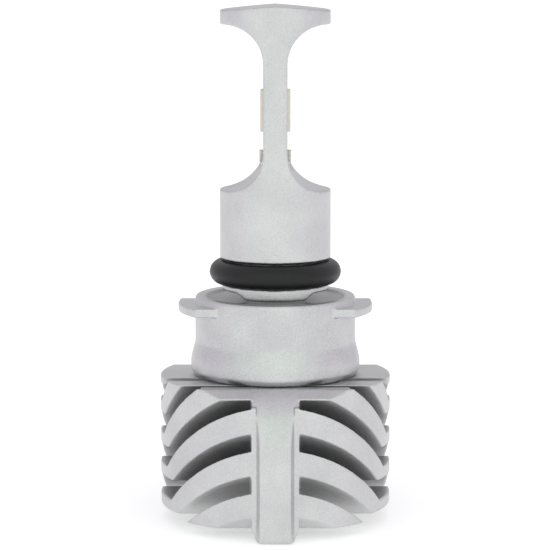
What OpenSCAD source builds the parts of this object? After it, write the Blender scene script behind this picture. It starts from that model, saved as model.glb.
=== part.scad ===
// LED headlight bulb with a turning locking collar, a louvred heat sink and its own driver.
// Millimetres. The origin is on the lamp axis at the seating plane of the collar's tabs,
// +Z runs to the lamp tip, the two lights face -X and +X, and the connector faces +Y.

/* [Lamp stem] */
// Radius of the neck and of the lamp tip
neck_r = 9.1; // [8.9:0.1:9.3]
// Height of the middle of the lights above the seating plane
light_centre = 31.5; // [31:0.1:32]
// Height of the ridge on the lamp tip
tip_top = 48.6; // [48:0.1:50]
// Height of the underside of the lamp tip
tip_under = 45.5; // [45:0.1:46]
// Height of the shoulder where the neck ends and the blade begins
neck_top = 18.7; // [18.4:0.1:19]
// Radius of the hollow between the blade and its two ends
scoop_r = 6.2; // [6:0.1:6.3]
// Thickness of the blade that carries the boards
blade_t = 3.9; // [3.8:0.1:4.2]
// Fall of the lamp tip from its ridge to its sides, in degrees
tip_fall = 4.4; // [2:0.2:6]

/* [Lights] */
// Width of a board along Y
board_w = 9; // [8:0.5:10]
// Thickness of a board
board_t = 0.6; // [0.5:0.1:0.8]
// Height of a light package along Z
package_h = 6.8; // [6:0.2:8]
// Width of a light package along Y
package_w = 3.8; // [3:0.2:5]
// How far a light package stands proud of its board
package_t = 0.5; // [0.4:0.1:0.7]

/* [Seal and collar] */
// Outer radius of the O-ring
seal_r = 10.8; // [10.6:0.1:11]
// Radius of the O-ring's section
seal_cord_r = 1.95; // [1.8:0.05:1.95]
// Outer radius of the collar's wall
collar_r = 13.2; // [13:0.1:13.5]
// Outer radius of the collar's flared foot
collar_foot_r = 13.95; // [13.8:0.05:14.2]
// Outer radius of the locking tabs
tab_r = 16; // [15.5:0.1:16.5]
// Thickness of the locking tabs
tab_t = 1.4; // [1.2:0.1:1.8]
// Running clearance between the collar and the stem's spigot
collar_gap = 0.05; // [0.03:0.01:0.1]

/* [Heat sink] */
// Radius of the circle that trims the fins
sink_r = 19; // [18.6:0.1:19.4]
// Height of the heat sink's top face
sink_top = -12.1; // [-12.4:0.1:-12.1]
// Height of the lowest fin's underside
sink_bottom = -34.5; // [-34.6:0.1:-34.2]
// Step between the rising front parts of two fins, along Z
front_pitch = 6.84; // [6.7:0.02:7]
// Height of a rising front part, along Z
front_t = 4; // [3.8:0.1:4.2]
// Step between the flat middle parts of two fins
flat_pitch = 5.2; // [5.1:0.05:5.3]
// Thickness of the flat middle part of a fin
flat_t = 1.9; // [1.7:0.1:2.1]
// Height of a falling rear part, along Z
rear_t = 3; // [2.6:0.1:3.2]
// Half width of the column between the fins
column_half = 3.8; // [3.6:0.1:4]
// How far the rib reaches forward of the lamp axis
rib_reach = 20.2; // [19.8:0.1:20.4]

/* [Driver housing and connector] */
// Half width of the driver housing
housing_half = 10.2; // [10:0.1:10.6]
// Distance from the lamp axis to the housing's open rear face
housing_rear = 19; // [18.6:0.1:19.4]
// Distance between the two terminals
terminal_pitch = 6.4; // [6:0.1:6.8]
// Depth of the connector socket
socket_depth = 8; // [7:0.5:10]

/* [Hidden] */

$fn = 96;
big = 60;        // longer than anything that it cuts
eps = 0.01;      // overlap that keeps cuts clean

// Stem heights below the neck
neck_bottom = 7.3;
tip_draft = 0.08;
groove_bottom = 3;
flange_bottom = 2.1;
flange_r = 8.8;
groove_r = seal_r - 2 * seal_cord_r;
foot_bottom = 1.05;
foot_half = 4.8;
foot_flare = 1.4;
waist_r = 5;
thrust_top = -3.2;
thrust_bottom = -4.2;
thrust_r = 7.6;
spigot_r = 5;
spigot_bottom = -21;
screw_r = 1.25;
screw_tip = -13;
screw_seat = -30;

// Lights
blade_half = blade_t / 2;
board_bottom = 22.1;
board_top = 38.1;
board_slack = 0.1;
phosphor_t = 0.08;
wire_x = blade_half + 0.43;
wire_y = 0.9;
wire_r = 0.4;
wire_hole_r = 0.55;
wire_top = 23;
wire_turn = -18.7;

// Collar
rim_top = 1.1;
rim_t = 2;
dish_r = 8.2;
dish_bottom = -1.4;
foot_slope = [0.6, 0.9];
web_top = thrust_bottom - 0.05;
web_bottom = -6.4;
collar_bottom = -12;
washer_t = 0.55;
boss_top = web_bottom - 0.05 - washer_t;
boss_r = 7.4;
tab_front = -9.4;
tab_back = 3;

// Fins: the lines y + z = constant that bound each sloped part
front_line0 = -12.6;
flat_top0 = -10.85;
rear_knee_y = 1.5;
core_r = 8;
rib_half = 3.05;
rib_face_half = 2.45;
rib_root = -18.6;
brow_r = 10.3;
brow_z = -21.3;
brow_cut_low = -16.5;
column_cut_low = -14.4;
cap_heel = -12.6;
cap_heel_t = 0.7;
cap_half = 12;
cap_back = -14.9;
cap_fall = 0.635;
cap_depth = 1.3;
plate_bottom = sink_top - 1.2;
plate_front = -4.2;
keel_bottom = -36.2;

// Driver housing
housing_top = -15;
housing_bottom = -34;
cavity_half = 8.4;
cavity_front = 9.4;
cavity_top = housing_top - 1.7;
cavity_bottom = housing_bottom + 1.7;
post_x = 8.3;
post_r = 1.9;
cover_screw_r = 0.8;
gasket_t = 0.4;
cover_t = 1.8;
cover_front = housing_rear + gasket_t;
cover_rear = cover_front + cover_t;
board_front = 12;
driver_board_t = 1.2;
parts_y = board_front + driver_board_t;
terminal_z = -22.5;
shell_gasket_t = 0.5;
shell_front = cover_rear + shell_gasket_t;
shell_flange_t = 1.3;
flange_half_h = 3.7;
socket_half_h = 4.4;
socket_floor = shell_front + shell_flange_t;
socket_rear = socket_floor + socket_depth;
shell_screw_x = 8.6;

alu = "silver";

// ---- helpers ----

// A box given by its lowest and highest corners
module box(low, high) translate(low) cube(high - low);

// A cylinder along +Z between two heights
module post(r, z0, z1) translate([0, 0, z0]) cylinder(r = r, h = z1 - z0);

// A cylinder along +Y between two distances from the lamp axis
module rod_y(r, y0, y1) translate([0, y0, 0]) rotate([-90, 0, 0]) cylinder(r = r, h = y1 - y0);

// A flat outline in X and Z, extruded along Y from y0 to y1
module slab_xz(y0, y1) translate([0, y1, 0]) rotate([90, 0, 0]) linear_extrude(y1 - y0) children();

// A flat outline in Y and Z, extruded along X to both sides
module slab_yz(half) rotate([90, 0, 90]) translate([0, 0, -half]) linear_extrude(2 * half) children();

// The same thing on the right and, mirrored, on the left
module both_sides() {
    children();
    mirror([1, 0, 0]) children();
}

// ---- lamp stem ----

// The hollow on the right of the blade, seen from the front
module scoop_outline() {
    low_z = neck_top + scoop_r;
    high_z = tip_under - scoop_r;
    centre_x = blade_half + scoop_r;
    translate([centre_x, low_z]) circle(r = scoop_r);
    translate([centre_x, high_z]) circle(r = scoop_r);
    translate([blade_half, low_z]) square([big, high_z - low_z]);
    translate([centre_x, neck_top]) square([big, tip_under - neck_top]);
}

// The lamp's outline below the neck, turned about the axis: groove, flange, waist, spigot
module stem_base() {
    rotate_extrude() polygon([[0, spigot_bottom], [spigot_r, spigot_bottom], [spigot_r, thrust_bottom],
        [thrust_r, thrust_bottom], [thrust_r, thrust_top], [waist_r, thrust_top],
        [waist_r, flange_bottom], [flange_r, flange_bottom], [flange_r, groove_bottom],
        [groove_r, groove_bottom], [groove_r, neck_bottom], [0, neck_bottom]]);
}

// The foot under the flange: it is as deep as the flange, and its two sides flare out to meet it
module stem_foot() intersection() {
    post(flange_r, foot_bottom, flange_bottom + eps);
    slab_xz(-flange_r, flange_r) polygon([[-foot_half, foot_bottom], [foot_half, foot_bottom],
        [foot_half + foot_flare, flange_bottom + eps], [-foot_half - foot_flare, flange_bottom + eps]]);
}

// The neck is a true cylinder, and the blade and the tip above it have a little casting draft
module stem_top() {
    post(neck_r, neck_bottom, neck_top);
    translate([0, 0, neck_top])
        cylinder(r1 = neck_r, r2 = neck_r - tip_draft, h = tip_top - neck_top);
}

module lamp_stem() {
    color(alu) difference() {
        union() {
            intersection() {
                stem_top();
                slab_xz(-neck_r, neck_r) polygon([[-10, 0], [10, 0],
                    [10, tip_top - 10 * tan(tip_fall)], [0, tip_top],
                    [-10, tip_top - 10 * tan(tip_fall)]]);
            }
            stem_base();
            stem_foot();
        }
        both_sides() slab_xz(-neck_r - 1, neck_r + 1) scoop_outline();
        both_sides() box([blade_half - board_t, -board_w / 2 - board_slack, board_bottom - board_slack],
            [blade_half + 2, board_w / 2 + board_slack, board_top + board_slack]);
        both_sides() for (side = [-1, 1])
            translate([wire_x, side * wire_y, 0]) post(wire_hole_r, spigot_bottom - 1, board_bottom + 1);
        both_sides() box([wire_x - 0.6, -wire_y - 0.6, spigot_bottom - 1],
            [wire_x + 0.6, spigot_r + 1, wire_turn + 1.6]);
        post(screw_r, spigot_bottom - 1, screw_tip + 1);
    }
}

// ---- lights ----

module led_board() {
    color("white") box([blade_half - board_t, -board_w / 2, board_bottom],
        [blade_half, board_w / 2, board_top]);
}
module led_board_right() led_board();
module led_board_left() mirror([1, 0, 0]) led_board();

module led_package() {
    color("wheat") translate([blade_half, 0, light_centre]) rotate([0, 90, 0])
        linear_extrude(package_t) square([package_h, package_w], center = true);
}
module led_package_right() led_package();
module led_package_left() mirror([1, 0, 0]) led_package();

// Three phosphor pads, one over each row of dies
module led_phosphor() {
    pad = [package_h / 3 - 0.35, package_w - 1.4];
    color("gold") for (step = [-1, 0, 1])
        translate([blade_half + package_t, 0, light_centre + step * package_h / 3.2])
            rotate([0, 90, 0]) linear_extrude(phosphor_t) square(pad, center = true);
}
module led_phosphor_right() led_phosphor();
module led_phosphor_left() mirror([1, 0, 0]) led_phosphor();

// Small parts on a board, below the light: a thermistor and a resistor
module board_parts() {
    color("tan") {
        box([blade_half, -3.6, 23.3], [blade_half + 0.65, -1.6, 25.2]);
        box([blade_half, 1.6, 23.5], [blade_half + 0.5, 3.4, 24.6]);
    }
}
module board_parts_right() board_parts();
module board_parts_left() mirror([1, 0, 0]) board_parts();

// Two wires that run down through the stem and turn back to the driver board
module feed_wires() {
    for (side = [-1, 1]) translate([wire_x, side * wire_y, 0]) {
        post(wire_r, wire_turn, wire_top);
        translate([0, 0, wire_turn]) sphere(r = wire_r);
        translate([0, 0, wire_turn + (side < 0 ? 0 : 0.95)]) rod_y(wire_r, 0, board_front - side * wire_y);
    }
}
module feed_wires_right() color("firebrick") feed_wires();
module feed_wires_left() color("firebrick") mirror([1, 0, 0]) feed_wires();

// ---- seal and collar ----

module o_ring() {
    color("black") translate([0, 0, groove_bottom + seal_cord_r + 0.05])
        rotate_extrude() translate([seal_r - seal_cord_r, 0]) circle(r = seal_cord_r);
}

// The collar's section: rim, wall, flared foot, the web that turns on the spigot and the dish
module collar_section() {
    edge = 0.5;
    flare_top = -6.5;
    flare_bottom = -9.6;
    polygon([[collar_r - rim_t, rim_top - edge], [collar_r - rim_t + edge, rim_top],
        [collar_r - edge, rim_top], [collar_r, rim_top - edge], [collar_r, flare_top],
        [collar_foot_r - 0.15, flare_bottom + 0.9], [collar_foot_r, flare_bottom],
        [collar_foot_r, collar_bottom + foot_slope.y], [collar_foot_r - foot_slope.x, collar_bottom],
        [collar_r - 1.8, collar_bottom], [collar_r - 1.8, web_bottom],
        [spigot_r + collar_gap, web_bottom], [spigot_r + collar_gap, web_top],
        [dish_r, web_top], [dish_r, dish_bottom]]);
    for (x = [collar_r - rim_t + edge, collar_r - edge])
        translate([x, rim_top - edge]) circle(r = edge);
}

// Slanted flats on the foot's lower edge: a large and a small one in each quarter
module foot_flats() {
    flat_tilt = 42;
    for (flat = [[35, 0.25], [61.5, 0.12]], turn = [flat.x, -flat.x, 180 - flat.x, 180 + flat.x])
        rotate([0, 0, turn]) translate([collar_foot_r - foot_slope.x - flat.y, 0, collar_bottom])
            rotate([0, flat_tilt, 0]) box([0, -5, -2], [3, 5, 3]);
}

// Plan of a tab: a piece of the ring between two fronts parallel to X
module side_tab_plan() intersection() {
    circle(r = tab_r);
    translate([collar_r - 5, tab_front]) square([10, tab_back - tab_front]);
}

module rear_tab_plan() intersection() {
    circle(r = tab_r);
    translate([-4.5, collar_r - 2]) square([9, 6]);
}

module locking_collar() {
    color(alu) union() {
        difference() {
            rotate_extrude() collar_section();
            foot_flats();
        }
        difference() {
            translate([0, 0, -tab_t]) linear_extrude(tab_t) {
                both_sides() side_tab_plan();
                rear_tab_plan();
            }
            post(collar_r - rim_t / 2, -big / 2, big / 2);
        }
    }
}

module wave_washer() {
    color("gray") difference() {
        post(boss_r - 0.2, boss_top, boss_top + washer_t);
        post(spigot_r + 0.3, boss_top - 1, boss_top + washer_t + 1);
    }
}

// ---- heat sink ----

// Side view of one fin: it rises to the front, lies flat in the middle and falls to the rear.
// Each sloped edge is a line on which y + z stays the same.
module fin_outline(i) {
    front_top = front_line0 - i * front_pitch;
    front_low = front_top - front_t;
    top = flat_top0 - i * flat_pitch;
    low = top - flat_t;
    rear_top = top + rear_knee_y;
    rear_low = rear_top - rear_t;
    polygon([[-big, front_top + big], [front_top - top, top], [rear_knee_y, top],
        [big, rear_top - big], [big, rear_low - big], [rear_low - low, low],
        [front_low - low, low], [-big, front_low + big]]);
}

module fins() {
    for (i = [0:5]) slab_yz(sink_r + 1) fin_outline(i);
    slab_yz(sink_r + 1) intersection() {
        fin_outline(-1);
        translate([4, sink_bottom]) square([big, big]);
    }
    slab_yz(sink_r + 1) translate([plate_front, plate_bottom])
        square([7.6 - plate_front, sink_top - plate_bottom]);
    slab_yz(cap_half) translate([cap_back, sink_top - cap_heel_t])
        square([cap_heel - cap_back, cap_heel_t]);
}

// Side view of the rib: upright below, and above it a round brow that leans back to the top face
module rib_side() {
    translate([-rib_reach + brow_r, brow_z]) circle(r = brow_r);
    translate([-rib_reach, keel_bottom + 0.6]) square([rib_reach, brow_z - keel_bottom - 0.6]);
    translate([-rib_reach + 0.6, keel_bottom]) square([rib_reach - 0.6, 2]);
    translate([-rib_reach + 0.6, keel_bottom + 0.6]) circle(r = 0.6);
    translate([-rib_reach + brow_r, brow_z]) square([rib_reach, sink_top - brow_z]);
}

// The rib and the keel under the column
module rib() intersection() {
    translate([0, 0, keel_bottom]) linear_extrude(sink_top - keel_bottom)
        polygon([[-rib_half, 0], [-rib_half, rib_root], [-rib_face_half, -rib_reach],
            [rib_face_half, -rib_reach], [rib_half, rib_root], [rib_half, 0]]);
    slab_yz(column_half) rib_side();
}

// What the brow cuts off the front of the column and of the fin that it leans back through
module brow_cut() difference() {
    union() {
        box([-rib_half, -sink_r - 1, brow_cut_low], [rib_half, cap_back + 1, sink_top + 1]);
        box([-column_half, -sink_r - 1, column_cut_low], [column_half, cap_back + 1, sink_top + 1]);
    }
    slab_yz(column_half + 1) rib_side();
}

// The slope that cuts the front of the top fin down to a thin edge
module cap_cut() {
    slope_y = cap_back - cap_depth / cap_fall;
    slab_yz(sink_r + 1) polygon([[cap_back + 1 / cap_fall, sink_top + 1], [slope_y, sink_top - cap_depth],
        [-sink_r - 1, sink_top - cap_depth], [-sink_r - 1, sink_top + 1]]);
}

module column() {
    intersection() {
        slab_xz(-big / 2, 0) polygon([[-column_half, sink_top], [-column_half, sink_bottom + 0.4],
            [-3, keel_bottom], [3, keel_bottom], [column_half, sink_bottom + 0.4],
            [column_half, sink_top]]);
        post(sink_r - 0.1, keel_bottom, sink_top);
    }
}

module driver_housing() {
    box([-housing_half, 2, housing_bottom], [housing_half, housing_rear, housing_top]);
}

module driver_cavity() difference() {
    box([-cavity_half, cavity_front, cavity_bottom], [cavity_half, housing_rear + 1, cavity_top]);
    for (x = [-post_x, post_x], z = [cavity_bottom + 0.4, cavity_top - 0.4])
        translate([x, 0, z]) rod_y(post_r, parts_y + 0.4, housing_rear);
}

module heat_sink() {
    color(alu) difference() {
        union() {
            intersection() {
                union() {
                    fins();
                    post(core_r, sink_bottom, sink_top);
                }
                post(sink_r, sink_bottom, sink_top);
            }
            column();
            rib();
            driver_housing();
            post(core_r, keel_bottom, sink_top);
            post(boss_r, sink_top - 1, boss_top);
        }
        brow_cut();
        cap_cut();
        driver_cavity();
        post(spigot_r, spigot_bottom, 0);
        post(screw_r + 0.35, screw_seat - 1, 0);
        post(3.1, keel_bottom - 1, screw_seat);
        box([-3.5, 2, spigot_bottom + 0.4], [3.5, cavity_front + 1, wire_turn + 1.8]);
        cover_screw_places() rod_y(cover_screw_r, housing_rear - 4.5, housing_rear + 1);
    }
}

module stem_screw() {
    head_r = 2.75;
    color("dimgray") difference() {
        union() {
            post(screw_r - 0.02, screw_seat - eps, screw_tip);
            post(head_r, screw_seat - 3, screw_seat);
        }
        translate([0, 0, screw_seat - 3 - eps]) cylinder(r = 1.45, h = 1.6, $fn = 6);
    }
}

// ---- driver ----

module driver_board() {
    color("darkgreen") box([-cavity_half + 0.2, board_front, cavity_bottom + 0.3],
        [cavity_half - 0.2, parts_y, cavity_top - 0.3]);
}

module driver_choke() {
    color("dimgray") translate([-4.2, 0, -28]) {
        rod_y(2.9, parts_y, parts_y + 0.8);
        rod_y(2.2, parts_y, parts_y + 3.8);
        rod_y(2.9, parts_y + 3, parts_y + 3.8);
    }
}

module driver_capacitors() {
    color("navy") for (x = [2.2, 6]) translate([x, 0, -28]) rod_y(1.7, parts_y, parts_y + 4);
}

module driver_chip() {
    color("black") box([-3, parts_y, -20.4], [3, parts_y + 1.1, -17.6]);
}

module thermal_pad() {
    color("lightblue") box([-7, cavity_front, -31], [7, board_front, -22]);
}

module supply_wires() {
    color("black") for (side = [-1, 1])
        translate([side * terminal_pitch / 2, 0, terminal_z]) rod_y(0.7, parts_y, housing_rear - 0.6);
}

// ---- rear cover and connector ----

module cover_screw_places() {
    for (x = [-post_x, post_x], z = [cavity_bottom + 0.4, cavity_top - 0.4])
        translate([x, 0, z]) children();
}

module shell_screw_places() {
    for (side = [-1, 1]) translate([side * shell_screw_x, 0, terminal_z]) children();
}

module cover_gasket() {
    color("dimgray") difference() {
        box([-housing_half, housing_rear, housing_bottom], [housing_half, cover_front, housing_top]);
        difference() {
            box([-cavity_half, housing_rear - 1, cavity_bottom], [cavity_half, cover_front + 1, cavity_top]);
            cover_screw_places() rod_y(post_r, housing_rear - 1, cover_front + 1);
        }
        cover_screw_places() rod_y(cover_screw_r + 0.1, housing_rear - 1, cover_front + 1);
    }
}

module rear_cover() {
    color(alu) difference() {
        box([-housing_half, cover_front, housing_bottom], [housing_half, cover_rear, housing_top]);
        box([-5.4, cover_front - 1, terminal_z - 2.8], [5.4, cover_rear + 1, terminal_z + 2.8]);
        cover_screw_places() rod_y(cover_screw_r + 0.1, cover_front - 1, cover_rear + 1);
        shell_screw_places() rod_y(0.7, cover_front - 1, cover_rear + 1);
    }
}

// Pan-head screws along +Y with a hexagon socket
module pan_screw(shank_r, head_r, y_tip, y_seat) {
    head_h = 1.1;
    difference() {
        union() {
            rod_y(shank_r, y_tip, y_seat + eps);
            rod_y(head_r, y_seat, y_seat + head_h);
        }
        translate([0, y_seat + head_h - 0.6, 0]) rotate([-90, 0, 0])
            cylinder(r = head_r * 0.5, h = 1, $fn = 6);
    }
}

module cover_screws() {
    color("dimgray") cover_screw_places() pan_screw(cover_screw_r - 0.02, 1.5, housing_rear - 4, cover_rear);
}

module connector_gasket() {
    color("black") difference() {
        box([-10, cover_rear, terminal_z - flange_half_h], [10, shell_front, terminal_z + flange_half_h]);
        box([-5.3, cover_rear - 1, terminal_z - 2.7], [5.3, shell_front + 1, terminal_z + 2.7]);
        shell_screw_places() rod_y(0.9, cover_rear - 1, shell_front + 1);
    }
}

// Socket with a key on its top wall, a flange, and a plug that fills the cover's opening
module connector_shell() {
    color("darkslategray") difference() {
        union() {
            box([-10, shell_front, terminal_z - flange_half_h],
                [10, socket_floor, terminal_z + flange_half_h]);
            box([-5.2, cover_front + 0.4, terminal_z - 2.6], [5.2, shell_front + eps, terminal_z + 2.6]);
            box([-6.6, socket_floor - eps, terminal_z - socket_half_h],
                [6.6, socket_rear, terminal_z + socket_half_h]);
            box([-1.5, socket_rear - 5, terminal_z + socket_half_h - eps],
                [1.5, socket_rear - 3, terminal_z + socket_half_h + 1]);
        }
        box([-5.4, socket_floor, terminal_z - 3.2], [5.4, socket_rear + 1, terminal_z + 3.2]);
        shell_screw_places() rod_y(0.9, shell_front - 1, socket_floor + 1);
        for (side = [-1, 1]) translate([side * terminal_pitch / 2, 0, terminal_z])
            rod_y(0.6, cover_front, socket_floor + 1);
    }
}

module connector_screws() {
    color("dimgray") shell_screw_places() pan_screw(0.68, 1.3, cover_front + 0.2, socket_floor);
}

module terminal_pins() {
    color("gold") for (side = [-1, 1])
        translate([side * terminal_pitch / 2, 0, terminal_z])
            rod_y(0.6, housing_rear - 0.6, socket_rear - 2);
}

lamp_stem();
led_board_left();
led_board_right();
led_package_left();
led_package_right();
led_phosphor_left();
led_phosphor_right();
board_parts_left();
board_parts_right();
feed_wires_left();
feed_wires_right();
o_ring();
locking_collar();
wave_washer();
heat_sink();
stem_screw();
driver_board();
driver_choke();
driver_capacitors();
driver_chip();
thermal_pad();
supply_wires();
cover_gasket();
rear_cover();
cover_screws();
connector_gasket();
connector_shell();
connector_screws();
terminal_pins();
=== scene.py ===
# %% [markdown]
# # An LED headlight bulb, finished around its CAD frame
#
# The CAD model already holds every part at its real size and place. This file only gives the
# parts their looks: soft cast edges, moulded rubber, boards, wires, finishes, light and a
# camera. Each step below says what the piece is on the real bulb and why it is made this way.

# %% Load the frame
import math

import bmesh
import bpy
import numpy as np
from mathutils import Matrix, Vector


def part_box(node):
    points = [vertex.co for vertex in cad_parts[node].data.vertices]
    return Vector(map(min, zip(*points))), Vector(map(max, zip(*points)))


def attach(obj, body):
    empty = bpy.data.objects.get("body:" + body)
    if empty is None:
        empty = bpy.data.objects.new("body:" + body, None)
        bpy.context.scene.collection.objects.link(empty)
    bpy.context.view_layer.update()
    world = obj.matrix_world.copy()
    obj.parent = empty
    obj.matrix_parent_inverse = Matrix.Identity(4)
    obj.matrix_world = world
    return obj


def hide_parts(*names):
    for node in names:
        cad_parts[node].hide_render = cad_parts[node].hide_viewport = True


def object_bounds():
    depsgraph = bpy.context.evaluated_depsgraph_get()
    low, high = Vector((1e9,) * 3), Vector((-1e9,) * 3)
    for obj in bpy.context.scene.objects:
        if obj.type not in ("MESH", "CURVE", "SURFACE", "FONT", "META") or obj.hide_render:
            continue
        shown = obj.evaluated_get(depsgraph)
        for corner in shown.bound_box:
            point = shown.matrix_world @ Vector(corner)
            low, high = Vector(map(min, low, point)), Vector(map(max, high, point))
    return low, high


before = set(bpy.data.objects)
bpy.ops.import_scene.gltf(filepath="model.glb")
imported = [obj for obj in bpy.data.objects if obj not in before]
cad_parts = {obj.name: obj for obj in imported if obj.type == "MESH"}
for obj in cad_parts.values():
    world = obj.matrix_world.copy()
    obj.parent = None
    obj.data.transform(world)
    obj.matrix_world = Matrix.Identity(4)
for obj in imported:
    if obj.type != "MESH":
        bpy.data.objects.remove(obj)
cad_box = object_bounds()
MM = 0.001
LAMP, COLLAR = "lamp", "collar"

# %% [markdown]
# ## Camera
#
# The bulb is seen from a little above, with a long lens from about 40 cm away. A long lens
# keeps the two ends of the bulb nearly the same scale, as a catalogue picture does. The
# camera looks at a point on the lamp axis just above the seating plane.

# %% Camera
CAMERA_DISTANCE = 396 * MM
CAMERA_PITCH = math.radians(8.1)
AIM = np.array([-0.05, 0.0, 4.29]) * MM
LENS_MM = 157.1
SENSOR_MM = 36.0

camera = bpy.data.objects.new("camera", bpy.data.cameras.new("camera"))
camera.data.lens = LENS_MM
camera.data.sensor_width = SENSOR_MM
camera.data.clip_start = 0.01
camera.location = AIM + CAMERA_DISTANCE * np.array([0, -math.cos(CAMERA_PITCH), math.sin(CAMERA_PITCH)])
camera.rotation_euler = (math.radians(90) - CAMERA_PITCH, 0, 0)
bpy.context.collection.objects.link(camera)
bpy.context.scene.camera = camera
bpy.context.scene.view_settings.view_transform = "Standard"

# %% [markdown]
# ## Turning arrays into meshes
#
# Most small pieces are grids: a closed outline that is repeated ring after ring. The rings
# run from the middle of the underside, out to the rim, round the edge and back to the middle
# of the top, so that each piece is one closed skin. Numpy works out all the points at once.

# %% Grids, rings and joining
def grid_faces(rows, columns, closed_rows=False):
    """Quads between neighbouring rows and columns. Columns always close on themselves."""
    row = np.arange(rows if closed_rows else rows - 1)[:, None]
    column = np.arange(columns)[None, :]
    next_row, next_column = (row + 1) % rows, (column + 1) % columns
    corners = [row * columns + column, row * columns + next_column,
               next_row * columns + next_column, next_row * columns + column]
    return np.stack(corners, axis=-1).reshape(-1, 4)


def end_fans(rows, columns):
    """Fans that close a grid's first and last rows. Their two middle points follow the grid's."""
    ring = np.arange(columns)
    following = (ring + 1) % columns
    last = (rows - 1) * columns
    middle = np.full(columns, rows * columns)
    low = np.stack([following, ring, middle, middle], axis=-1)
    high = np.stack([ring + last, following + last, middle + 1, middle + 1], axis=-1)
    return low, high


def join(parts):
    """Several (points, faces) pairs as one pair."""
    starts = np.cumsum([0] + [len(points) for points, _ in parts[:-1]])
    points = np.concatenate([points for points, _ in parts])
    faces = np.concatenate([faces + start for (_, faces), start in zip(parts, starts)])
    return points, faces


def add_piece(name, part, material, body, replaces=()):
    """Makes a mesh object from (points in mm, faces), merged, with its faces turned outwards."""
    points, faces = part
    mesh = bpy.data.meshes.new(name)
    mesh.from_pydata((points * MM).tolist(), [], faces.tolist())
    shape = bmesh.new()
    shape.from_mesh(mesh)
    bmesh.ops.remove_doubles(shape, verts=shape.verts, dist=1e-7)
    bmesh.ops.dissolve_degenerate(shape, edges=shape.edges, dist=1e-7)
    bmesh.ops.recalc_face_normals(shape, faces=shape.faces)
    shape.to_mesh(mesh)
    shape.free()
    mesh.shade_smooth()
    return finish_piece(bpy.data.objects.new(name, mesh), material, body, replaces)


def finish_piece(piece, material, body, replaces=()):
    """Links a piece, gives it its finish and says which body it rides on."""
    if piece.name not in bpy.context.collection.objects:
        bpy.context.collection.objects.link(piece)
    piece.data.materials.clear()
    piece.data.materials.append(material)
    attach(piece, body)
    if replaces:
        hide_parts(*replaces)
    print(f"{piece.name}: {len(piece.data.polygons)} faces")
    return piece


# %% [markdown]
# ## Finishes
#
# Every finish is procedural. Colours are written as sRGB hex, the way a colour picker shows
# them, and one function turns them into the linear values that the shader needs. Pattern
# sizes are given in millimetres and turned into a texture scale, because object coordinates
# are in metres.

# %% Colour and node helpers
def linear(hex_colour):
    """sRGB hex to linear RGBA."""
    srgb = np.array([int(hex_colour[i:i + 2], 16) for i in (1, 3, 5)]) / 255
    rgb = np.where(srgb <= 0.04045, srgb / 12.92, ((srgb + 0.055) / 1.055) ** 2.4)
    return (*rgb.tolist(), 1.0)


def per_mm(size):
    """Texture scale whose features are about this many millimetres across."""
    return 1 / (size * MM)


def add(tree, kind, values=None, links=None, **settings):
    """Adds a node, sets its properties and socket values, and links its inputs."""
    made = tree.nodes.new(kind)
    for key, value in settings.items():
        setattr(made, key, value)
    for key, value in (values or {}).items():
        made.inputs[key].default_value = value
    for key, source in (links or {}).items():
        tree.links.new(source, made.inputs[key])
    return made


def new_finish(name):
    """An empty material with its output and a principled shader: (material, tree, shader)."""
    material = bpy.data.materials.new(name)
    material.use_nodes = True
    tree = material.node_tree
    tree.nodes.clear()
    shader = add(tree, "ShaderNodeBsdfPrincipled")
    add(tree, "ShaderNodeOutputMaterial", links={"Surface": shader.outputs["BSDF"]})
    return material, tree, shader


# %% [markdown]
# ### Die-cast, shot-blasted aluminium
#
# The lamp stem, collar, heat sink and rear cover are pressure die castings. Their skin is
# blasted with fine shot, which leaves an even, matt, silvery surface: a metal with a high
# roughness, a grain of a quarter of a millimetre, and slow cloudy patches a few millimetres
# wide where the alloy cooled unevenly. The grain goes into colour, roughness and bump.

# %% Cast aluminium
GRAIN_MM = 0.22
SHOT_MM = 0.42      # from one shot mark to the next
CLOUD_MM = 7.0
SEAM_HALF_MM = 0.14


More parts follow.
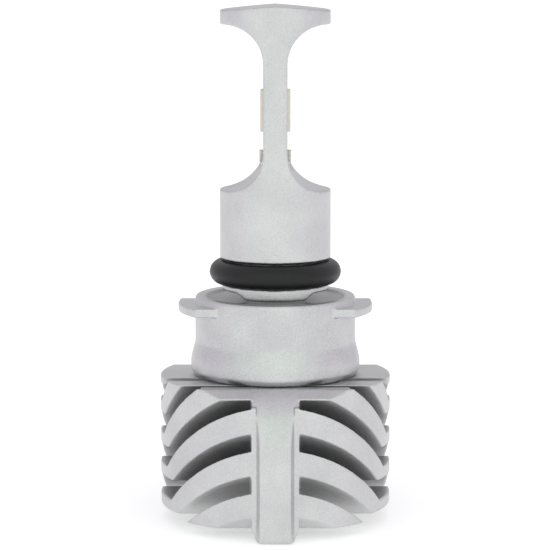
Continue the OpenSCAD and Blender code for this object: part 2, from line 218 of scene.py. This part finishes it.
def cast_aluminium(name, light, dark, seam=False, roughness=0.42):
    """A blasted casting: fine grain and slow clouds between two greys, with an optional seam."""
    material, tree, shader = new_finish(name)
    place = add(tree, "ShaderNodeTexCoord").outputs["Object"]
    grain = add(tree, "ShaderNodeTexNoise", {"Scale": per_mm(GRAIN_MM), "Detail": 3.0, "Roughness": 0.6},
                {"Vector": place}).outputs["Fac"]
    cloud = add(tree, "ShaderNodeTexNoise", {"Scale": per_mm(CLOUD_MM), "Detail": 3.0, "Roughness": 0.5},
                {"Vector": place}).outputs["Fac"]
    speck = add(tree, "ShaderNodeTexVoronoi", {"Scale": per_mm(SHOT_MM), "Randomness": 1.0},
                {"Vector": place}).outputs["Distance"]
    blend = add(tree, "ShaderNodeMath", {1: 0.35}, {0: cloud}, operation="MULTIPLY").outputs[0]
    tone = add(tree, "ShaderNodeMath", {1: 0.65}, {0: grain, 2: blend}, operation="MULTIPLY_ADD").outputs[0]
    colour = add(tree, "ShaderNodeMapRange", {"From Min": 0.36, "From Max": 0.64}, {"Value": tone})
    mix = add(tree, "ShaderNodeMix", {"A": linear(dark), "B": linear(light)},
              {"Factor": colour.outputs["Result"]}, data_type="RGBA")
    tree.links.new(mix.outputs["Result"], shader.inputs["Base Color"])
    rough = add(tree, "ShaderNodeMapRange", {"From Min": 0.3, "From Max": 0.7, "To Min": roughness - 0.05,
                                             "To Max": roughness + 0.06}, {"Value": grain})
    tree.links.new(rough.outputs["Result"], shader.inputs["Roughness"])
    height = add(tree, "ShaderNodeMath", {1: 0.6}, {0: speck, 2: grain}, operation="MULTIPLY_ADD").outputs[0]
    if seam:
        height = parting_line(tree, place, height)
    bump = add(tree, "ShaderNodeBump", {"Strength": 0.5, "Distance": 0.06 * MM}, {"Height": height})
    tree.links.new(bump.outputs["Normal"], shader.inputs["Normal"])
    shader.inputs["Metallic"].default_value = 1.0
    return material


def parting_line(tree, place, height):
    """Adds a fine ridge where the two halves of the die met, on the plane X = 0."""
    x = add(tree, "ShaderNodeSeparateXYZ", links={"Vector": place}).outputs["X"]
    away = add(tree, "ShaderNodeMath", links={0: x}, operation="ABSOLUTE").outputs[0]
    ridge = add(tree, "ShaderNodeMapRange", {"From Min": 0.0, "From Max": SEAM_HALF_MM * MM, "To Min": 1.2,
                                             "To Max": 0.0}, {"Value": away}).outputs["Result"]
    return add(tree, "ShaderNodeMath", links={0: height, 1: ridge}, operation="ADD").outputs[0]


stem_metal = cast_aluminium("die_cast_blasted_aluminium_stem", "#D4D4D3", "#C0C0C1")
collar_metal = cast_aluminium("die_cast_blasted_aluminium_collar", "#D5D5D4", "#BABABC")
sink_metal = cast_aluminium("die_cast_blasted_aluminium_sink", "#D4D4D3", "#BEBEBF", seam=True)
cover_metal = cast_aluminium("die_cast_blasted_aluminium_cover", "#CDCDCD", "#C0C0C1")

# %% [markdown]
# ### Rubber, plastics, ceramic and plated metal
#
# The other finishes share one recipe with different numbers: two close colours mixed by a
# fine noise, a roughness that varies a little, and a faint bump. Moulded rubber is nearly
# black with a soft sheen, glass-filled nylon is dark with a satin skin, fired ceramic and
# solder mask are pale, and tin or zinc plating is a metal.

# %% The shared recipe for the small parts
def small_part(name, light, dark, roughness, grain_mm, bump_mm=0.01, metallic=0.0, ior=1.5, **sockets):
    """Two close colours mixed by a fine noise, with a faint bump. Extra sockets are set as given."""
    material, tree, shader = new_finish(name)
    place = add(tree, "ShaderNodeTexCoord").outputs["Object"]
    grain = add(tree, "ShaderNodeTexNoise", {"Scale": per_mm(grain_mm), "Detail": 4.0, "Roughness": 0.55},
                {"Vector": place}).outputs["Fac"]
    tone = add(tree, "ShaderNodeMapRange", {"From Min": 0.35, "From Max": 0.65}, {"Value": grain})
    mix = add(tree, "ShaderNodeMix", {"A": linear(dark), "B": linear(light)},
              {"Factor": tone.outputs["Result"]}, data_type="RGBA")
    rough = add(tree, "ShaderNodeMapRange", {"From Min": 0.3, "From Max": 0.7, "To Min": roughness - 0.04,
                                             "To Max": roughness + 0.05}, {"Value": grain})
    bump = add(tree, "ShaderNodeBump", {"Strength": 0.4, "Distance": bump_mm * MM}, {"Height": grain})
    tree.links.new(mix.outputs["Result"], shader.inputs["Base Color"])
    tree.links.new(rough.outputs["Result"], shader.inputs["Roughness"])
    tree.links.new(bump.outputs["Normal"], shader.inputs["Normal"])
    shader.inputs["Metallic"].default_value = metallic
    if not metallic:
        shader.inputs["IOR"].default_value = ior
    for socket, value in sockets.items():
        shader.inputs[socket.replace("_", " ")].default_value = value
    return material


rubber = small_part("moulded_nitrile_rubber", "#131313", "#0C0C0C", 0.42, 0.35, 0.02, ior=1.5,
                    Specular_IOR_Level=0.36)
gasket = small_part("cut_sheet_rubber", "#2E2E2F", "#242425", 0.7, 0.3, 0.02, ior=1.52)
solder_mask = small_part("white_solder_mask_on_aluminium_board", "#E6E4DC", "#DAD7CD", 0.32, 0.5, 0.008)
ceramic = small_part("fired_alumina_ceramic", "#E6E1D8", "#DCD6CA", 0.55, 0.16, 0.008)
phosphor = small_part("silicone_with_yellow_phosphor", "#EBD25A", "#DDBE3F", 0.48, 0.12, 0.006, ior=1.41)
chip_body = small_part("fired_ceramic_chip_body", "#C7A67F", "#B08F69", 0.5, 0.2, 0.008)
tinned = small_part("bright_tin_plating", "#D8D6D0", "#BFBDB8", 0.3, 0.25, 0.006, metallic=1.0)
red_wire = small_part("extruded_red_silicone_insulation", "#A32019", "#8C1812", 0.45, 0.6, 0.01, ior=1.43)
black_wire = small_part("extruded_black_silicone_insulation", "#202021", "#171718", 0.45, 0.6, 0.01, ior=1.43)
spring = small_part("rolled_spring_steel", "#9C9C9E", "#858588", 0.35, 0.3, 0.008, metallic=1.0)
zinc = small_part("zinc_plated_steel", "#BFC0C2", "#A2A3A6", 0.34, 0.35, 0.008, metallic=1.0)
laminate = small_part("green_solder_mask_on_glass_laminate", "#1F5A36", "#17482A", 0.35, 0.5, 0.01)
ferrite = small_part("sintered_ferrite", "#2F2F31", "#252527", 0.6, 0.2, 0.015)
sleeve = small_part("shrunk_blue_sleeve", "#1E2A55", "#172144", 0.3, 0.5, 0.008)
epoxy = small_part("moulded_black_epoxy", "#1E1E1F", "#161617", 0.55, 0.12, 0.01)
soft_pad = small_part("soft_silicone_gap_pad", "#8FA5B6", "#7D93A5", 0.75, 0.4, 0.03, ior=1.41)
nylon = small_part("moulded_glass_filled_nylon", "#262628", "#1C1C1E", 0.42, 0.25, 0.015, ior=1.53)
brass = small_part("tin_plated_brass", "#D9CFA8", "#C2B588", 0.28, 0.3, 0.006, metallic=1.0)

# %% [markdown]
# ## Castings with soft edges
#
# A die casting has no sharp edge: every corner is rounded by a few tenths of a millimetre,
# and every inner corner is filled. A bevel would break on the many short edges where the
# louvres meet the round outline. So a copy of each CAD casting is merged, filled with small
# voxels and skinned again, which keeps its shape, and then relaxed a little, which rounds
# outer corners and fills inner ones at the same time, as metal flowing into a die does.

# %% Skin a CAD casting again
def recast(name, node, voxel_mm, relax, most_triangles, material, body):
    """A rounded copy of a CAD casting: voxel skin, relaxed, then thinned where it is flat."""
    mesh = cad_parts[node].data.copy()
    piece = bpy.data.objects.new(name, mesh)
    bpy.context.collection.objects.link(piece)
    shape = bmesh.new()
    shape.from_mesh(mesh)
    bmesh.ops.remove_doubles(shape, verts=shape.verts, dist=1e-6)
    shape.to_mesh(mesh)
    shape.free()
    skin = piece.modifiers.new("skin", "REMESH")
    skin.mode = "VOXEL"
    skin.voxel_size = voxel_mm * MM
    ease = piece.modifiers.new("relax", "SMOOTH")
    ease.factor, ease.iterations = 0.5, relax
    bake(piece)
    triangles = 2 * len(piece.data.polygons)
    if triangles > most_triangles:
        thin = piece.modifiers.new("thin", "DECIMATE")
        thin.ratio = most_triangles / triangles
        bake(piece)
    piece.data.shade_smooth()
    return finish_piece(piece, material, body, replaces=(node,))


def bake(piece):
    """Applies a piece's modifiers to its mesh."""
    seen = piece.evaluated_get(bpy.context.evaluated_depsgraph_get())
    made = bpy.data.meshes.new_from_object(seen)
    piece.modifiers.clear()
    piece.data = made


recast("stem_casting", "lamp_stem", 0.2, 5, 120000, stem_metal, LAMP)
recast("collar_casting", "locking_collar", 0.2, 5, 120000, collar_metal, COLLAR)
recast("sink_casting", "heat_sink", 0.14, 6, 190000, sink_metal, LAMP)
recast("rear_cover_casting", "rear_cover", 0.15, 4, 60000, cover_metal, LAMP)
recast("connector_moulding", "connector_shell", 0.15, 3, 60000, nylon, LAMP)

# %% [markdown]
# ## The O-ring
#
# An O-ring is moulded in two halves, so a fine line of flash runs round its widest circle.
# The surface is a circle carried round a circle: the angle a goes round the lamp axis, the
# angle b goes round the rubber's section, and the section's radius gains a small bump of
# 0.04 mm where b is near zero.

# %% O-ring
def o_ring(ring_r, cord_r, middle_z, around=256, across=64, flash=0.04, flash_width=0.09):
    a = np.linspace(0, 2 * np.pi, around, endpoint=False)[:, None]
    b = np.linspace(-np.pi, np.pi, across, endpoint=False)[None, :]
    section = cord_r + flash * np.exp(-(b / flash_width) ** 2)
    radius = ring_r + section * np.cos(b)
    height = np.broadcast_to(middle_z + section * np.sin(b), (around, across))
    points = np.stack([radius * np.cos(a), radius * np.sin(a), height], axis=-1)
    return points.reshape(-1, 3), grid_faces(around, across, closed_rows=True)


seal_low, seal_high = (np.array(corner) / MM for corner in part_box("o_ring"))
seal_cord = (seal_high[2] - seal_low[2]) / 2
add_piece("o_ring_rubber", o_ring(seal_high[0] - seal_cord, seal_cord, (seal_low[2] + seal_high[2]) / 2),
          rubber, LAMP, replaces=("o_ring",))

# %% [markdown]
# ## Boards, lights and small parts
#
# The boards, packages, phosphor pads and chips are all slabs with rounded corners and a
# softened rim. One function makes such a slab: its outline is a rectangle with arcs at the
# corners, drawn smaller by an inset as the rings climb round the rim, and the top can swell
# into a shallow dome, as silicone and solder do.

# %% A slab with rounded corners
def slab(size, thick, corner, edge, dome=0.0, per_corner=8):
    """Rings of rounded rectangles in (u, v) at height w: base, rim arc, top, dome."""
    bend = np.linspace(0, np.pi / 2, 6)
    inset = np.concatenate([[min(size) / 2 - 0.01], [edge * 0.3, 0], edge * (1 - np.cos(bend)),
                            np.linspace(edge * 1.6, min(size) / 2 - 0.01, 8)])
    swell = dome * np.sin(np.linspace(0, np.pi / 2, 8))
    height = np.concatenate([[0, 0, edge * 0.3], thick - edge + edge * np.sin(bend), thick + swell])
    turn = np.linspace(0, np.pi / 2, per_corner)
    angle = np.concatenate([turn + quarter * np.pi / 2 for quarter in range(4)])
    side_u = np.repeat([1, -1, -1, 1], per_corner)
    side_v = np.repeat([1, 1, -1, -1], per_corner)
    radius = np.maximum(corner - inset, 0.004)[:, None]
    u = side_u * np.maximum(size[0] / 2 - inset[:, None] - radius, 0) + radius * np.cos(angle)
    v = side_v * np.maximum(size[1] / 2 - inset[:, None] - radius, 0) + radius * np.sin(angle)
    w = np.repeat(height[:, None], len(angle), axis=1)
    rings, columns = u.shape
    points = np.stack([u, v, w], axis=-1).reshape(-1, 3)
    middle = np.array([[0, 0, 0], [0, 0, thick + dome]])
    faces = np.concatenate([grid_faces(rings, columns), *end_fans(rings, columns)])
    return np.concatenate([points, middle]), faces


def on_blade(part, side, x, y, z):
    """Stands a slab on the blade's left (-1) or right (+1) face, with its base at x."""
    points, faces = part
    placed = np.stack([side * (x + points[:, 2]), y + points[:, 0], z + points[:, 1]], axis=-1)
    return placed, faces


# %% Both sides of the lamp
board_low, board_high = (np.array(corner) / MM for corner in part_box("led_board_right"))
pack_low, pack_high = (np.array(corner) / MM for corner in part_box("led_package_right"))
face_x = board_high[0]
board_mid_z = (board_low[2] + board_high[2]) / 2
light_z = (pack_low[2] + pack_high[2]) / 2
package = pack_high - pack_low
PADS = 3
PAD_STEP = package[2] / 3.2
PAD_SIZE = (package[1] - 1.4, package[2] / PADS - 0.35)
CHIPS = [(-2.6, 24.25, 2.0, 1.9, 0.62), (2.5, 24.05, 1.8, 1.1, 0.48)]    # y, z, width, height, thickness
CHIP_BODY, CHIP_CAP = 0.66, 0.2      # shares of a chip's width: its body, and a tinned cap at each end
CAP_PROUD = 0.02
WIRE_Y = 0.9
SOLDER_Z = 23.1
SOLDER_SIZE = (1.2, 1.2)
CLEAR = 0.01        # keeps the faces of two parts that touch from lying in one plane

for side, word in ((-1, "left"), (1, "right")):
    board = slab((board_high - board_low)[1:], face_x - board_low[0], 0.6, 0.06)
    add_piece(f"board_{word}", on_blade(board, side, board_low[0], 0, board_mid_z), solder_mask, LAMP,
              replaces=(f"led_board_{word}",))
    base = slab(package[1:], package[0] - 2 * CLEAR, 0.25, 0.08)
    add_piece(f"package_{word}", on_blade(base, side, face_x + CLEAR, 0, light_z), ceramic, LAMP,
              replaces=(f"led_package_{word}",))
    pad = slab(PAD_SIZE, 0.03, 0.2, 0.01, dome=0.015)
    pads = [on_blade(pad, side, pack_high[0] - CLEAR, 0, light_z + (k - 1) * PAD_STEP) for k in range(PADS)]
    add_piece(f"phosphor_{word}", join(pads), phosphor, LAMP, replaces=(f"led_phosphor_{word}",))
    bodies = [on_blade(slab((w * CHIP_BODY, h), t, 0.05, 0.04), side, face_x, y, z)
              for y, z, w, h, t in CHIPS]
    add_piece(f"chips_{word}", join(bodies), chip_body, LAMP, replaces=(f"board_parts_{word}",))
    caps = [on_blade(slab((w * CHIP_CAP, h), t + CAP_PROUD, 0.06, 0.05), side, face_x,
                     y + end * w * (1 - CHIP_CAP) / 2, z)
            for y, z, w, h, t in CHIPS for end in (-1, 1)]
    blob = slab(SOLDER_SIZE, 0.03, 0.4, 0.01, dome=0.42)
    solder = [on_blade(blob, side, face_x, y, SOLDER_Z) for y in (-WIRE_Y, WIRE_Y)]
    add_piece(f"tinned_ends_{word}", join(caps + solder), tinned, LAMP)

# %% [markdown]
# ## Wires
#
# Two wires leave each board through solder joints, dip into holes in the stem and turn back
# to the driver at the bottom. A wire is a circle carried along a path. The path's corner is
# an arc, because insulated wire never folds.

# %% Wires along a path
def tube(path, radius, around=16):
    """A circle of this radius carried along a path that lies in one plane of constant x."""
    step = np.gradient(path, axis=0)
    along = step / np.linalg.norm(step, axis=1, keepdims=True)
    across = np.cross(along, [1.0, 0.0, 0.0])
    across /= np.linalg.norm(across, axis=1, keepdims=True)
    up = np.cross(along, across)
    turn = np.linspace(0, 2 * np.pi, around, endpoint=False)
    ring = np.cos(turn)[None, :, None] * across[:, None, :] + np.sin(turn)[None, :, None] * up[:, None, :]
    points = (path[:, None, :] + radius * ring).reshape(-1, 3)
    ends = np.stack([path[0], path[-1]])
    faces = np.concatenate([grid_faces(len(path), around), *end_fans(len(path), around)])
    return np.concatenate([points, ends]), faces


def feed_path(x, y, top, turn_z, end_y, bend=0.8):
    """Straight down, a quarter circle towards +Y, and straight back, at one x."""
    a = np.linspace(0, np.pi / 2, 9)
    down = [[y, top], [y, (top + turn_z) / 2]]
    arc = np.stack([y + bend * (1 - np.cos(a)), turn_z + bend * (1 - np.sin(a))], axis=-1)
    back = [[end_y - 0.3, turn_z], [end_y, turn_z]]
    plane = np.concatenate([down, arc, back])
    return np.column_stack([np.full(len(plane), x), plane])


WIRE_SUNK = 1.7     # each wire ends inside its hole, under the solder
WIRE_LIFT = 0.95    # where they turn back, one wire passes above the other
wire_low, wire_high = (np.array(corner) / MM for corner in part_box("feed_wires_right"))
wire_r = (wire_high[0] - wire_low[0]) / 2
wire_x = (wire_high[0] + wire_low[0]) / 2
low_turn = wire_low[2] + wire_r
for side, word in ((-1, "left"), (1, "right")):
    runs = [tube(feed_path(side * wire_x, y, wire_high[2] - WIRE_SUNK, low_turn + lift, wire_high[1]), wire_r)
            for y, lift in ((-WIRE_Y, 0.0), (WIRE_Y, WIRE_LIFT))]
    add_piece(f"wires_{word}", join(runs), red_wire, LAMP, replaces=(f"feed_wires_{word}",))

# %% [markdown]
# ## Parts that keep their CAD shape
#
# Screws, pins, gaskets and everything sealed inside the driver housing are right as they
# are. They only need their finish.

# %% Finishes for the CAD parts
KEPT = {"wave_washer": spring, "stem_screw": zinc, "cover_screws": zinc, "connector_screws": zinc,
        "driver_board": laminate, "driver_choke": ferrite, "driver_capacitors": sleeve,
        "driver_chip": epoxy, "thermal_pad": soft_pad, "supply_wires": black_wire,
        "cover_gasket": gasket, "connector_gasket": gasket, "terminal_pins": brass}
for name, material in KEPT.items():
    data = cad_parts[name].data
    data.materials.clear()
    data.materials.append(material)

# %% [markdown]
# ## Floor and light
#
# The bulb stands on a plain white table inside a white tent. The lamps stand behind the
# camera, so the tent glows brightest in front of the bulb, less at the sides and least at the
# back, and the cloth at the sides is a touch cooler. That is what shades round parts towards
# their edges. The world's own direction vector says where each ray goes. The table glows a
# little, as a lit white sweep does, so that no hard shadow falls on it.

# %% Floor
TABLE_GLOW = 0.4
floor_z = cad_box[0][2] - 0.1 * MM
TABLE_REACH = 12.0
floor_mesh = bpy.data.meshes.new("table")
floor_mesh.from_pydata([(-TABLE_REACH, -TABLE_REACH, floor_z), (TABLE_REACH, -TABLE_REACH, floor_z),
                        (TABLE_REACH, TABLE_REACH, floor_z), (-TABLE_REACH, TABLE_REACH, floor_z)],
                       [], [(0, 1, 2, 3)])
floor = bpy.data.objects.new("table", floor_mesh)
bpy.context.collection.objects.link(floor)
table_white, tree, shader = new_finish("matt_white_table")
shader.inputs["Base Color"].default_value = linear("#E8E8E8")
shader.inputs["Roughness"].default_value = 0.9
shader.inputs["Emission Color"].default_value = (1, 1, 1, 1)
shader.inputs["Emission Strength"].default_value = TABLE_GLOW
floor_mesh.materials.append(table_white)

# %% Light tent
TENT_STRENGTH = 1.22
TENT_FRONT, TENT_BACK = linear("#F6FFF8"), linear("#CDCDCF")
TENT_SIDE, TENT_TOP = linear("#DCD5E1"), linear("#D7D1DB")
FADE_START, FADE_END = 0.15, 0.75      # share of a direction along Y where the front and back fade in

world = bpy.data.worlds.new("white_tent")
bpy.context.scene.world = world
world.use_nodes = True
sky = world.node_tree
sky.nodes.clear()
direction = add(sky, "ShaderNodeTexCoord").outputs["Generated"]
way = add(sky, "ShaderNodeSeparateXYZ", links={"Vector": direction}).outputs
towards_front = add(sky, "ShaderNodeMapRange", {"From Min": -FADE_START, "From Max": -FADE_END},
                    {"Value": way["Y"]}, interpolation_type="SMOOTHSTEP").outputs["Result"]
towards_back = add(sky, "ShaderNodeMapRange", {"From Min": FADE_START, "From Max": FADE_END},
                   {"Value": way["Y"]}, interpolation_type="SMOOTHSTEP").outputs["Result"]
sides = add(sky, "ShaderNodeMix", {"A": TENT_SIDE, "B": TENT_TOP}, {"Factor": way["Z"]}, data_type="RGBA")
front = add(sky, "ShaderNodeMix", {"B": TENT_FRONT}, {"Factor": towards_front, "A": sides.outputs["Result"]},
            data_type="RGBA")
tent = add(sky, "ShaderNodeMix", {"B": TENT_BACK}, {"Factor": towards_back, "A": front.outputs["Result"]},
           data_type="RGBA")
glow = add(sky, "ShaderNodeBackground", {"Strength": TENT_STRENGTH}, {"Color": tent.outputs["Result"]})
add(sky, "ShaderNodeOutputWorld", links={"Surface": glow.outputs["Background"]})
